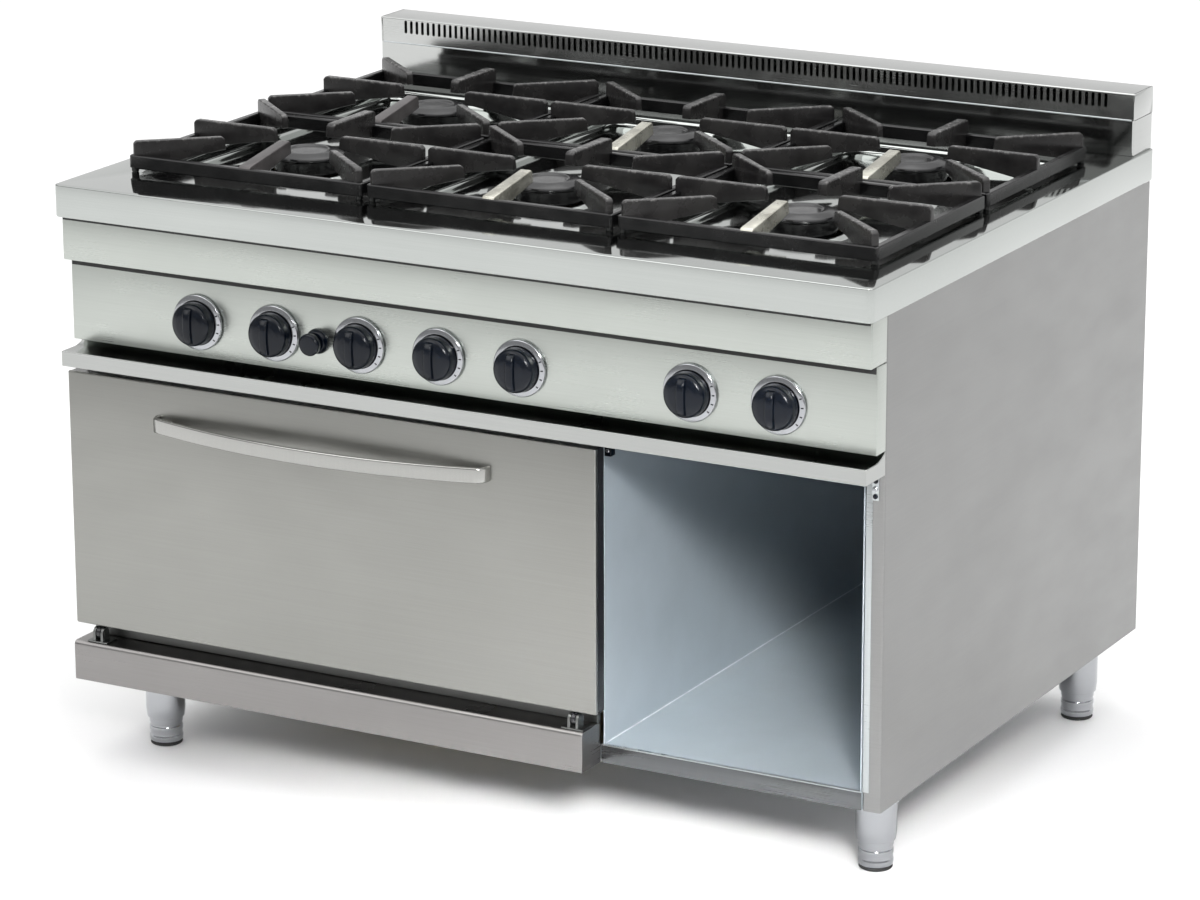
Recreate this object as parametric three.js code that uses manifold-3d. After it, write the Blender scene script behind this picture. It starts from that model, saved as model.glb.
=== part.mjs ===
// Commercial gas range: six open burners over a static oven and an open cabinet.
// Millimetres. X runs to the right along the front, Y to the back, Z up, floor at Z = 0.
// Parts are laid out from the front plane of the body (Y = 0), then the whole range is moved
// back so that the origin is the middle of its footprint.

import * as THREE from 'three';
import { mergeVertices } from 'three/addons/utils/BufferGeometryUtils.js';
import Module from 'manifold-3d';

const wasm = await Module();
wasm.setup();

// ---------------------------------------------------------------- driving dimensions

const GAP = 0.3; // air between neighbouring pieces
const SHEET = 2; // stainless sheet thickness

const WORKTOP_HALF = 600; // half width of the hob top
const BODY_HALF = 595; // half width over the side panels
const BODY_REAR = 838; // rear plane
const APRON_FRONT = -56; // front face of the hob's apron
const HANDLE_FRONT = -96; // front of the handle's bow

const Z_BODY = 112; // underside of the body, top of the legs
const Z_SEAM = 759; // underside of the hob's apron
const Z_TOP = 803; // hob surface
const Z_SPLASH = 852; // joint between splash back and flue hood
const Z_HOOD = 889; // top of the flue hood

const POST = 25; // width of the side panels' front and rear flanges
const PANEL = { front: -26, bottom: 586, top: 699 };
const RAIL = { front: -44 };
const LEDGE = { front: -56, lip: 576, bottom: 555 };
const KICK = { front: -50, top: 167, right: 195 };

const DOOR = { left: -595, right: 212, bottom: 191, top: 546, front: -43, back: -19 };
const DOOR_SKIN = 7; // depth of the door's folded outer skin
const DOOR_AXIS = { y: -36, z: 180 };
const HINGES = { left: -560, right: 178 };
const HANDLE = { left: -455, right: 62, bottom: 483, height: 20.5, thickness: 6, leg: 11, rise: 15 };

const OVEN = { left: -520, right: 140, bottom: 208, top: 520, rear: 640 };
const FACE = { left: -569.7, right: 195.7, bottom: 168, top: 554.7, front: -10 };
const MOUTH = { left: -518, right: 138, bottom: 210, top: 518 };
const CABINET = { left: 201, right: 566, floor: 137, top: 560, rear: 805 };

const COLUMNS = { left: -371.5, centre: 0, right: 371.5 };
const ROWS = { front: 217, rear: 549 };
const WELL = { half: 160, front: 85, rear: 681, depth: 14 };
const BURNER_HOLE = 52; // radius
const GRATE = { width: 365, depth: 324, bar: 10, foot: 5, frame: 18, top: 42, finger: 10 };

const KNOBS = [
  { name: 'knob_front_left', x: -393, burner: ['left', 'front'] },
  { name: 'knob_rear_left', x: -274, burner: ['left', 'rear'] },
  { name: 'knob_oven', x: -144, burner: null },
  { name: 'knob_front_centre', x: -25, burner: ['centre', 'front'] },
  { name: 'knob_rear_centre', x: 95, burner: ['centre', 'rear'] },
  { name: 'knob_front_right', x: 339, burner: ['right', 'front'] },
  { name: 'knob_rear_right', x: 462, burner: ['right', 'rear'] },
];
const Z_KNOB = 634;
const SPINDLE_HOLE = 7; // radius
const IGNITER = { x: -208, z: 631, hole: 11 };

const GAS = { y: 22, z: 612, radius: 9, left: -470, right: 548 };
const VENTURI = { z: 755, mouth: 42, radius: 11 };

const LEGS = {
  front_left: { x: -520, y: 55 },
  front_right: { x: 545, y: 95 },
  rear_left: { x: -520, y: 750 },
  rear_right: { x: 545, y: 750 },
};
const LEG = { radius: 27, skirt: 40, bore: 23.6, ceiling: 98, foot: 23, footTop: 75 };

const SLOTS = { count: 48, pitch: 24, width: 12, bottom: 863, top: 884 };

const ROUND = 16; // sides of a turned part
const PIPE = 8; // sides of a pipe

// ---------------------------------------------------------------- materials

const finish = (color, roughness, metalness) => () =>
  new THREE.MeshStandardMaterial({ color, roughness, metalness });

const brushed = finish(0xb9bab4, 0.38, 1);
const polished = finish(0xc9cbca, 0.14, 1);
const satin = finish(0x8d8f8c, 0.45, 1);
const galvanised = finish(0x9a9d9c, 0.5, 1);
const chrome = finish(0xd8dadb, 0.08, 1);
const castIron = finish(0x17171a, 0.42, 0.6);
const enamel = finish(0x101113, 0.3, 0.1);
const knobBlack = finish(0x0c1220, 0.18, 0);
const rubber = finish(0x1b1b1b, 0.75, 0);
const brass = finish(0xa88b4c, 0.35, 1);
const mineralWool = finish(0xb39b5e, 0.95, 0);

// ---------------------------------------------------------------- solids

// Signed volume of an indexed triangle list, to see which way its faces point.
function signedVolume(position, index) {
  const a = new THREE.Vector3();
  const b = new THREE.Vector3();
  const c = new THREE.Vector3();
  let sum = 0;
  for (let i = 0; i < index.length; i += 3) {
    a.fromBufferAttribute(position, index[i]);
    b.fromBufferAttribute(position, index[i + 1]);
    c.fromBufferAttribute(position, index[i + 2]);
    sum += a.dot(b.cross(c)) / 6;
  }
  return sum;
}

// A closed three.js geometry as a solid that can be joined and cut.
function solid(geometry) {
  geometry.deleteAttribute('normal');
  geometry.deleteAttribute('uv');
  const merged = mergeVertices(geometry);
  const corners = merged.index.array;
  const faces = [];
  for (let i = 0; i < corners.length; i += 3) {
    const [a, b, c] = [corners[i], corners[i + 1], corners[i + 2]];
    if (a !== b && b !== c && c !== a) faces.push(a, b, c);
  }
  if (signedVolume(merged.attributes.position, faces) < 0) faces.reverse();
  return new wasm.Manifold(
    new wasm.Mesh({
      numProp: 3,
      vertProperties: new Float32Array(merged.attributes.position.array),
      triVerts: new Uint32Array(faces),
    }),
  );
}

function geometryOf(body) {
  const mesh = body.getMesh();
  const geometry = new THREE.BufferGeometry();
  geometry.setAttribute('position', new THREE.BufferAttribute(mesh.vertProperties, 3));
  geometry.setIndex(new THREE.BufferAttribute(mesh.triVerts, 1));
  geometry.computeVertexNormals();
  return geometry;
}

const join = (...solids) => solids.reduce((whole, piece) => whole.add(piece));
const cut = (whole, ...tools) => tools.reduce((rest, tool) => rest.subtract(tool), whole);

// Box between two planes on each axis.
function box([x0, x1], [y0, y1], [z0, z1]) {
  const geometry = new THREE.BoxGeometry(x1 - x0, y1 - y0, z1 - z0);
  geometry.translate((x0 + x1) / 2, (y0 + y1) / 2, (z0 + z1) / 2);
  return solid(geometry);
}

// Sheet-metal box with walls of one thickness; the open sides are named like '-y' or '+z'.
function pan(x, y, z, open, wall = SHEET) {
  const reach = (range, axis) => [
    open.includes(`-${axis}`) ? range[0] - 1 : range[0] + wall,
    open.includes(`+${axis}`) ? range[1] + 1 : range[1] - wall,
  ];
  return cut(box(x, y, z), box(reach(x, 'x'), reach(y, 'y'), reach(z, 'z')));
}

const outline = (points) => new THREE.Shape(points.map(([u, v]) => new THREE.Vector2(u, v)));

// Outline in the XY plane, raised from z0 to z1.
function raised(shape, z0, z1) {
  const geometry = new THREE.ExtrudeGeometry(shape, { depth: z1 - z0, bevelEnabled: false });
  geometry.translate(0, 0, z0);
  return solid(geometry);
}

// Outline in the YZ plane, drawn out from x0 to x1.
function drawn(shape, x0, x1) {
  const geometry = new THREE.ExtrudeGeometry(shape, { depth: x1 - x0, bevelEnabled: false });
  const [x, y, z] = [0, 1, 2].map((axis) => new THREE.Vector3().setComponent(axis, 1));
  geometry.applyMatrix4(new THREE.Matrix4().makeBasis(y, z, x));
  geometry.translate(x0, 0, 0);
  return solid(geometry);
}

// Profile of [radius, height] points turned about the Z axis through (x, y).
function turned(profile, x = 0, y = 0, sides = ROUND) {
  const points = profile.map(([radius, height]) => new THREE.Vector2(radius, height));
  const geometry = new THREE.LatheGeometry(points, sides);
  geometry.rotateX(Math.PI / 2);
  geometry.translate(x, y, 0);
  return solid(geometry);
}

// Profile of [radius, distance] points turned about an axis that runs forwards (-Y) from a point.
function turnedForward(profile, x, y, z, sides = ROUND) {
  const points = profile.map(([radius, distance]) => new THREE.Vector2(radius, distance));
  const geometry = new THREE.LatheGeometry(points, sides);
  geometry.rotateX(Math.PI);
  geometry.translate(x, y, z);
  return solid(geometry);
}

// Round rod or pipe between two points.
function rod(from, to, radius, sides = PIPE) {
  const start = new THREE.Vector3(...from);
  const end = new THREE.Vector3(...to);
  const along = end.clone().sub(start);
  const geometry = new THREE.CylinderGeometry(radius, radius, along.length(), sides);
  const turn = new THREE.Quaternion().setFromUnitVectors(
    new THREE.Vector3(0, 1, 0),
    along.clone().normalize(),
  );
  geometry.applyQuaternion(turn);
  geometry.translate(...start.add(end).multiplyScalar(0.5).toArray());
  return solid(geometry);
}

// ---------------------------------------------------------------- assembly

const range = new THREE.Group();
range.position.y = -(BODY_REAR + HANDLE_FRONT) / 2;

function add(name, body, material) {
  const mesh = new THREE.Mesh(geometryOf(body), material());
  mesh.name = name;
  range.add(mesh);
}

// ---------------------------------------------------------------- body

// Folded side panel: outer skin, front post and rear flange, each post with a return lip.
function sidePanel(side) {
  const outer = BODY_HALF;
  const inner = outer - POST;
  const lip = inner + SHEET;
  const skin = outer - SHEET;
  const section = [
    [outer, 0],
    [outer, BODY_REAR],
    [inner, BODY_REAR],
    [inner, BODY_REAR - 38],
    [lip, BODY_REAR - 38],
    [lip, BODY_REAR - SHEET],
    [skin, BODY_REAR - SHEET],
    [skin, SHEET],
    [lip, SHEET],
    [lip, 22],
    [inner, 22],
    [inner, 0],
  ].map(([x, y]) => [side * x, y]);
  return raised(outline(section), Z_BODY, Z_SEAM - GAP);
}

function baseFrame() {
  const tray = pan([-569.5, 569.5], [4, 832], [Z_BODY, 134], ['+z']);
  const airIntake = box([-420, 40], [150, 520], [Z_BODY - 1, Z_BODY + SHEET + 1]);
  return cut(tray, airIntake);
}

function backPanel() {
  const sheet = box([-569.5, 569.5], [806, 808], [CABINET.floor + GAP, Z_SEAM - GAP]);
  return cut(sheet, rod([GAS.right, 800, GAS.z], [GAS.right, 815, GAS.z], GAS.radius + 3));
}

add('side_panel_left', sidePanel(-1), brushed);
add('side_panel_right', sidePanel(1), brushed);
add('base_frame', baseFrame(), galvanised);
add('back_panel', backPanel(), galvanised);

// ---------------------------------------------------------------- hob

const burnerPlaces = [];
for (const row of ['front', 'rear']) {
  for (const column of ['left', 'centre', 'right']) {
    burnerPlaces.push({ place: `${row}_${column}`, x: COLUMNS[column], y: ROWS[row], row, column });
  }
}

// Pressed hob: apron all round, three wells, six burner holes and a flue opening at the back.
function worktop() {
  const wall = 3;
  const cover = pan(
    [-WORKTOP_HALF, WORKTOP_HALF],
    [APRON_FRONT, BODY_REAR],
    [Z_SEAM + GAP, Z_TOP],
    ['-z'],
    wall,
  );
  const floor = Z_TOP - WELL.depth;
  let top = cover;
  for (const x of Object.values(COLUMNS)) {
    const tub = box(
      [x - WELL.half - SHEET, x + WELL.half + SHEET],
      [WELL.front - SHEET, WELL.rear + SHEET],
      [floor - SHEET, Z_TOP - 1],
    );
    const hollow = box([x - WELL.half, x + WELL.half], [WELL.front, WELL.rear], [floor, Z_TOP + 1]);
    top = cut(join(top, tub), hollow);
  }
  const holes = burnerPlaces.map(({ x, y }) =>
    rod([x, y, floor - 5], [x, y, floor + 5], BURNER_HOLE, ROUND),
  );
  const flue = box([-560, 560], [785, 828], [Z_TOP - 10, Z_TOP + 1]);
  return cut(top, ...holes, flue);
}

add('worktop', worktop(), polished);

// Chimney walls behind the burners, open above and below.
function splashBack() {
  const shape = outline([
    [-BODY_HALF, 773],
    [BODY_HALF, 773],
    [BODY_HALF, BODY_REAR],
    [-BODY_HALF, BODY_REAR],
  ]);
  const inside = outline([
    [-BODY_HALF + SHEET, 773 + SHEET],
    [BODY_HALF - SHEET, 773 + SHEET],
    [BODY_HALF - SHEET, BODY_REAR - SHEET],
    [-BODY_HALF + SHEET, BODY_REAR - SHEET],
  ]);
  shape.holes.push(inside);
  return raised(shape, Z_TOP + GAP, Z_SPLASH);
}

// Hood on the chimney, slotted across its front top edge.
function flueHood() {
  const hood = pan(
    [-BODY_HALF, BODY_HALF],
    [773, BODY_REAR],
    [Z_SPLASH + GAP, Z_HOOD],
    ['-z'],
  );
  const slots = [];
  for (let i = 0; i < SLOTS.count; i += 1) {
    const x = (i - (SLOTS.count - 1) / 2) * SLOTS.pitch;
    slots.push(
      box(
        [x - SLOTS.width / 2, x + SLOTS.width / 2],
        [772, 773 + SHEET + 1],
        [SLOTS.bottom, SLOTS.top],
      ),
    );
  }
  return cut(hood, wasm.Manifold.union(slots));
}

add('splash_back', splashBack(), polished);
add('flue_hood', flueHood(), polished);

// Burner: mixing pot and crown over the hob hole, with a venturi tube that ends at its gas valve.
function burner(x, y, valveX) {
  const pot = turned(
    [
      [0, 738],
      [28, 738],
      [28, 780],
      [46, 792],
      [46, 811.7],
      [20, 811.7],
      [20, 804],
      [0, 804],
    ],
    x,
    y,
  );
  const start = [x, y, VENTURI.z];
  const mouth = [valveX, VENTURI.mouth, VENTURI.z];
  const tube = rod(start, mouth, VENTURI.radius);
  const bell = rod([valveX, VENTURI.mouth + 22, VENTURI.z], mouth, VENTURI.radius + 4);
  return join(pot, tube, bell);
}

function burnerCap(x, y) {
  return turned(
    [
      [0, 805],
      [18, 805],
      [18, 812],
      [49, 812],
      [47.5, 819],
      [30, 822],
      [0, 820],
    ],
    x,
    y,
  );
}

for (const { place, x, y, row, column } of burnerPlaces) {
  const valve = KNOBS.find((knob) => knob.burner && knob.burner[0] === column && knob.burner[1] === row);
  add(`burner_${place}`, burner(x, y, valve.x), castIron);
  add(`burner_cap_${place}`, burnerCap(x, y), enamel);
}

// Cast finger of a grate: a plate that stands on the frame and points at the burner.
function finger(x, y, angle, outer, inner) {
  const low = Z_TOP + GRATE.foot;
  const high = Z_TOP + GRATE.top;
  const frame = low + GRATE.frame;
  const half = GRATE.finger / 2;
  const side = outline([
    [inner, frame],
    [inner + 3, high],
    [outer, high],
    [outer, low],
    [outer - 26, low],
  ]);
  const geometry = new THREE.ExtrudeGeometry(side, { depth: GRATE.finger, bevelEnabled: false });
  geometry.rotateX(Math.PI / 2);
  geometry.translate(0, half, 0);
  geometry.rotateZ(angle);
  geometry.translate(x, y, 0);
  return solid(geometry);
}

// Pan support: a rectangular frame on four feet with eight fingers.
function grate(x, y) {
  const halfX = GRATE.width / 2;
  const halfY = GRATE.depth / 2;
  const low = Z_TOP + GRATE.foot;
  const frame = cut(
    box([x - halfX, x + halfX], [y - halfY, y + halfY], [low, low + GRATE.frame]),
    box(
      [x - halfX + GRATE.bar, x + halfX - GRATE.bar],
      [y - halfY + GRATE.bar, y + halfY - GRATE.bar],
      [low - 1, low + GRATE.frame + 1],
    ),
  );
  const corner = Math.atan2(halfY, halfX);
  const diagonal = Math.hypot(halfX, halfY) - 8;
  const fingers = [
    finger(x, y, 0, halfX, 50),
    finger(x, y, Math.PI, halfX, 50),
    finger(x, y, Math.PI / 2, halfY, 54),
    finger(x, y, -Math.PI / 2, halfY, 54),
    finger(x, y, corner, diagonal, 112),
    finger(x, y, Math.PI - corner, diagonal, 112),
    finger(x, y, corner - Math.PI, diagonal, 112),
    finger(x, y, -corner, diagonal, 112),
  ];
  const feet = [];
  for (const sx of [-1, 1]) {
    for (const sy of [-1, 1]) {
      const footX = x + sx * (halfX - 6.5);
      const footY = y + sy * (halfY - 6.5);
      feet.push(box([footX - 5, footX + 5], [footY - 5, footY + 5], [Z_TOP + GAP, low + 2]));
    }
  }
  return join(frame, ...fingers, ...feet);
}

for (const { place, x, y } of burnerPlaces) {
  add(`grate_${place}`, grate(x, y), castIron);
}

// ---------------------------------------------------------------- front

add(
  'front_rail',
  pan([-BODY_HALF, BODY_HALF], [RAIL.front, -GAP], [PANEL.top, Z_SEAM], ['+y']),
  brushed,
);

// Panel with its end returns, pierced for the spindles and the igniter.
function controlPanel() {
  const sheet = pan(
    [-BODY_HALF, BODY_HALF],
    [PANEL.front, -GAP],
    [PANEL.bottom, PANEL.top - GAP],
    ['+y', '+z', '-z'],
  );
  const drill = (x, z, radius) => rod([x, PANEL.front - 5, z], [x, PANEL.front + 8, z], radius, ROUND);
  const holes = KNOBS.map(({ x }) => drill(x, Z_KNOB, SPINDLE_HOLE));
  return cut(sheet, ...holes, drill(IGNITER.x, IGNITER.z, IGNITER.hole));
}

// Sloping drip ledge under the control panel.
function panelLedge() {
  const section = (inset) => [
    [-GAP + inset, PANEL.bottom - GAP - inset],
    [PANEL.front, PANEL.bottom - GAP - inset],
    [LEDGE.front + inset, LEDGE.lip - inset],
    [LEDGE.front + inset, LEDGE.bottom + inset],
    [-GAP + inset, LEDGE.bottom + inset],
  ];
  const whole = drawn(outline(section(0)), -BODY_HALF, BODY_HALF);
  return cut(whole, drawn(outline(section(SHEET)), -BODY_HALF + SHEET, BODY_HALF - SHEET));
}

add('control_panel', controlPanel(), brushed);
add('panel_ledge', panelLedge(), polished);
add(
  'kick_panel',
  pan([-BODY_HALF, KICK.right], [KICK.front, -GAP], [Z_BODY, KICK.top], ['+y', '-z']),
  brushed,
);

// Knob: dished skirt, domed grip with a rib, and the spindle that enters the gas valve.
function knob(x) {
  const body = turnedForward(
    [
      [0, -15],
      [4, -15],
      [4, 1],
      [38, 1],
      [38, 5],
      [29.5, 10],
      [28.5, 22],
      [18, 30],
      [0, 31.5],
    ],
    x,
    PANEL.front,
    Z_KNOB,
  );
  const rib = box([x - 4, x + 4], [PANEL.front - 33.5, PANEL.front - 15], [Z_KNOB - 24, Z_KNOB + 24]);
  return join(body, rib);
}

for (const { name, x } of KNOBS) {
  add(name, knob(x), knobBlack);
}

add(
  'igniter_button',
  turnedForward(
    [
      [0, -6],
      [10, -6],
      [10, 17],
      [15, 18],
      [15, 24],
      [13, 26],
      [0, 26],
    ],
    IGNITER.x,
    PANEL.front,
    IGNITER.z,
  ),
  knobBlack,
);

// ---------------------------------------------------------------- gas train

// Manifold pipe with seven valve blocks, injectors to the burners and the inlet at the back.
function gasManifold() {
  const { y, z, radius, left, right } = GAS;
  let pipe = join(
    rod([left, y, z], [right, y, z], radius),
    rod([right, y - radius, z], [right, 834, z], radius),
    rod([right, 814, z], [right, 836, z], radius + 4, 6),
  );
  for (const knobPlace of KNOBS) {
    const x = knobPlace.x;
    const block = box([x - 14, x + 14], [-16, y + 8], [z + 5, Z_KNOB + 16]);
    const bore = rod([x, -20, Z_KNOB], [x, -8, Z_KNOB], 5.5);
    pipe = join(pipe, cut(block, bore));
    if (knobPlace.burner) {
      pipe = join(
        pipe,
        box([x - 4, x + 4], [y - 4, y + 4], [Z_KNOB + 10, VENTURI.z + 4]),
        box([x - 3, x + 3], [y, VENTURI.mouth - 5], [VENTURI.z - 3, VENTURI.z + 3]),
      );
    }
  }
  return pipe;
}

add('gas_manifold', gasManifold(), brass);

// ---------------------------------------------------------------- oven

// Enamelled box, open at the front, with pressed ledges on both side walls.
function ovenCavity() {
  const shell = cut(
    box(
      [OVEN.left - SHEET, OVEN.right + SHEET],
      [GAP, OVEN.rear + SHEET],
      [OVEN.bottom - SHEET, OVEN.top + SHEET],
    ),
    box([OVEN.left, OVEN.right], [-1, OVEN.rear], [OVEN.bottom, OVEN.top]),
  );
  const ledges = [];
  for (const z of [240, 340, 400, 460]) {
    ledges.push(box([OVEN.left - 1, OVEN.left + 10], [20, 620], [z, z + 6]));
    ledges.push(box([OVEN.right - 10, OVEN.right + 1], [20, 620], [z, z + 6]));
  }
  return join(shell, ...ledges);
}

function ovenFaceFrame() {
  const plate = pan([FACE.left, FACE.right], [FACE.front, 0], [FACE.bottom, FACE.top], ['+y']);
  const mouth = box([MOUTH.left, MOUTH.right], [FACE.front - 1, 1], [MOUTH.bottom, MOUTH.top]);
  return cut(plate, mouth);
}

function ovenInsulation() {
  const clear = SHEET + 0.5;
  return cut(
    box([-548, 168], [4, 668], [176, 546]),
    box(
      [OVEN.left - clear, OVEN.right + clear],
      [-1, OVEN.rear + clear],
      [OVEN.bottom - clear, OVEN.top + clear],
    ),
  );
}

// Two perforated tubes under the floor plate, joined at the front.
function ovenBurner() {
  const z = 222;
  return join(
    rod([-350, 80, z], [-350, 560, z], 12),
    rod([-30, 80, z], [-30, 560, z], 12),
    rod([-362, 92, z], [-18, 92, z], 12),
  );
}

// Wire shelf: a rim and a cross bar with eight wires between front and rear.
function ovenRack() {
  const [left, right, front, rear, low, high] = [-515, 135, 25, 615, 406.5, 411.5];
  const bays = 9;
  const pitch = (right - left) / bays;
  const wire = 2.5;
  const rim = 5;
  const windows = [];
  for (let i = 0; i < bays; i += 1) {
    const x0 = left + i * pitch + (i === 0 ? rim : wire);
    const x1 = left + (i + 1) * pitch - (i === bays - 1 ? rim : wire);
    windows.push(box([x0, x1], [front + rim, 317], [low - 1, high + 1]));
    windows.push(box([x0, x1], [323, rear - rim], [low - 1, high + 1]));
  }
  return cut(box([left, right], [front, rear], [low, high]), ...windows);
}

function ovenGasket() {
  const [y0, y1] = [DOOR.back + 0.4, FACE.front - GAP];
  const width = 13;
  const { left, right, bottom, top } = OVEN;
  return cut(
    box([left - width, right + width], [y0, y1], [bottom - width, top + width]),
    box([left, right], [y0 - 1, y1 + 1], [bottom, top]),
  );
}

add('oven_cavity', ovenCavity(), enamel);
add('oven_face_frame', ovenFaceFrame(), satin);
add('oven_insulation', ovenInsulation(), mineralWool);
add('oven_burner', ovenBurner(), galvanised);
add('oven_floor_plate', box([-516, 136], [12, 636], [246.3, 250.3]), castIron);
add('oven_rack', ovenRack(), chrome);
add('oven_gasket', ovenGasket(), rubber);

// ---------------------------------------------------------------- oven door

add(
  'oven_door_skin',
  pan([DOOR.left, DOOR.right], [DOOR.front, DOOR.front + DOOR_SKIN], [DOOR.bottom, DOOR.top], ['+y']),
  brushed,
);

const disc = (x0, x1, radius) => rod([x0, DOOR_AXIS.y, DOOR_AXIS.z], [x1, DOOR_AXIS.y, DOOR_AXIS.z], radius, ROUND);

// Enamelled inner tray of the door, with the two hinge arms welded to its lower edge.
function doorLiner() {
  let liner = pan(
    [DOOR.left + 1, DOOR.right - 1],
    [DOOR.front + DOOR_SKIN + GAP, DOOR.back],
    [DOOR.bottom + 1, DOOR.top - 1],
    ['-y'],
  );
  for (const x of Object.values(HINGES)) {
    const web = box([x - 3, x + 3], [DOOR_AXIS.y + 0.6, DOOR_AXIS.y + 12], [DOOR_AXIS.z, DOOR.bottom + 2]);
    liner = join(liner, web, disc(x - 3, x + 3, 8));
    liner = cut(liner, disc(x - 4, x + 4, 4.3));
  }
  return liner;
}

// Hinge bracket: base plate, two ears and the pin that the door's arm turns on.
function doorHinge(x) {
  const base = box([x - 16, x + 16], [-46, -22], [KICK.top + GAP, KICK.top + 2.3]);
  const ears = [-1, 1].map((side) => {
    const [near, far] = side < 0 ? [x - 8, x - 4] : [x + 4, x + 8];
    return join(
      box([near, far], [DOOR_AXIS.y - 8, DOOR_AXIS.y + 8], [KICK.top + 2, DOOR_AXIS.z]),
      disc(near, far, 8),
    );
  });
  return join(base, ...ears, disc(x - 6, x + 6, 4));
}

// Flat bar bowed outwards along an arc, with short legs that meet the door.
function handle() {
  const middle = (HANDLE.left + HANDLE.right) / 2;
  const half = (HANDLE.right - HANDLE.left) / 2;
  const ends = DOOR.front - HANDLE.rise;
  const bow = ends - HANDLE_FRONT;
  const radius = (half * half + bow * bow) / (2 * bow);
  const centre = HANDLE_FRONT + radius;
  const reach = Math.asin(half / radius);
  const steps = 16;
  const shape = new THREE.Shape();
  const arc = (r, from, to) => {
    for (let i = 0; i <= steps; i += 1) {
      const angle = from + ((to - from) * i) / steps;
      shape.lineTo(middle + r * Math.sin(angle), centre - r * Math.cos(angle));
    }
  };
  const inner = radius - HANDLE.thickness;
  const innerReach = Math.asin((half - HANDLE.leg) / inner);
  const foot = DOOR.front - GAP;
  shape.moveTo(HANDLE.left, foot);
  arc(radius, -reach, reach);
  shape.lineTo(HANDLE.right, foot);
  shape.lineTo(HANDLE.right - HANDLE.leg, foot);
  arc(inner, innerReach, -innerReach);
  shape.lineTo(HANDLE.left + HANDLE.leg, foot);
  shape.closePath();
  return raised(shape, HANDLE.bottom, HANDLE.bottom + HANDLE.height);
}

add('oven_door_liner', doorLiner(), enamel);
add('door_hinge_left', doorHinge(HINGES.left), satin);
add('door_hinge_right', doorHinge(HINGES.right), satin);
add('oven_handle', handle(), polished);

// ---------------------------------------------------------------- open cabinet

// Left wall, ceiling and right wall folded from one sheet.
function cabinetLiner() {
  const { left, right, floor, top, rear } = CABINET;
  return pan([left - SHEET, right + SHEET], [GAP, rear], [floor + GAP, top + SHEET], ['-y', '+y', '-z']);
}

// Floor sheet with a folded front rail.
function cabinetFloor() {
  const { floor, rear } = CABINET;
  return join(
    box([196, 569.5], [0, rear], [floor - SHEET, floor]),
    box([196, 569.5], [0, SHEET], [Z_BODY, floor - 1]),
  );
}

add('cabinet_liner', cabinetLiner(), brushed);
add('cabinet_floor', cabinetFloor(), brushed);

// ---------------------------------------------------------------- legs

// Fixed sleeve, bored from below to take the foot.
function legSleeve(x, y) {
  const { radius, skirt, bore, ceiling } = LEG;
  return turned(
    [
      [0, Z_BODY - GAP],
      [radius, Z_BODY - GAP],
      [radius, skirt + 8],
      [radius - 2, skirt],
      [bore, skirt],
      [bore, ceiling],
      [0, ceiling],
    ],
    x,
    y,
  );
}

// Levelling foot with grip grooves and a pad.
function legFoot(x, y) {
  const { foot, footTop } = LEG;
  return turned(
    [
      [0, 0],
      [foot - 1.5, 0],
      [foot, 3],
      [foot - 1.5, 16],
      [foot, 20],
      [foot, footTop],
      [0, footTop],
    ],
    x,
    y,
  );
}

for (const [place, { x, y }] of Object.entries(LEGS)) {
  add(`leg_sleeve_${place}`, legSleeve(x, y), chrome);
  add(`leg_foot_${place}`, legFoot(x, y), satin);
}

export default range;
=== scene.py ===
"""Looks of a commercial gas range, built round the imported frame. Metres; +Z up, +Y to the back."""
import math

import bmesh
import bpy
from mathutils import Matrix, Vector
from mathutils.geometry import tessellate_polygon


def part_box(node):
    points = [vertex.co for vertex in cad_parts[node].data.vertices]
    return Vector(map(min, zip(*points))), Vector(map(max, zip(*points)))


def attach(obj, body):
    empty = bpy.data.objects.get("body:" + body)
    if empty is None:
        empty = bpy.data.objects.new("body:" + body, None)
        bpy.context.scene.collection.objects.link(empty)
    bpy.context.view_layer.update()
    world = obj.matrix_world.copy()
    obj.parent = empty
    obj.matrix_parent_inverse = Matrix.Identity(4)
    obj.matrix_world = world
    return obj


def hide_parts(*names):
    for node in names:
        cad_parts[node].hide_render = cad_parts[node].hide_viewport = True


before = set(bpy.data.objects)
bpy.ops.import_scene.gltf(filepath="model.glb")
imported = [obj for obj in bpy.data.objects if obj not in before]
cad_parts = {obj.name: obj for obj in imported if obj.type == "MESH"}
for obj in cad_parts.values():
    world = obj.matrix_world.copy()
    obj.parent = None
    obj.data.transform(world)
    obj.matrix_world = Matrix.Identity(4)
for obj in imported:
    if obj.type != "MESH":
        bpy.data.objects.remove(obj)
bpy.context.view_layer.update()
BODY = "range_body"
PLACES = [f"{row}_{column}" for row in ("front", "rear") for column in ("left", "centre", "right")]
LEGS = [f"{row}_{side}" for row in ("front", "rear") for side in ("left", "right")]
KNOBS = [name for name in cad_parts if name.startswith("knob_")]


# ---------------------------------------------------------------- mesh helpers


def loft(bm, loops, cap_start=False, cap_end=False, closed=True):
    """Quads between successive loops of the same length."""
    rows = [[bm.verts.new(p) for p in loop] for loop in loops]
    count = len(rows[0])
    span = count if closed else count - 1
    for a, b in zip(rows, rows[1:]):
        for i in range(span):
            j = (i + 1) % count
            bm.faces.new((a[i], a[j], b[j], b[i]))
    if cap_start:
        bm.faces.new(list(reversed(rows[0])))
    if cap_end:
        bm.faces.new(rows[-1])
    return rows


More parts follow.
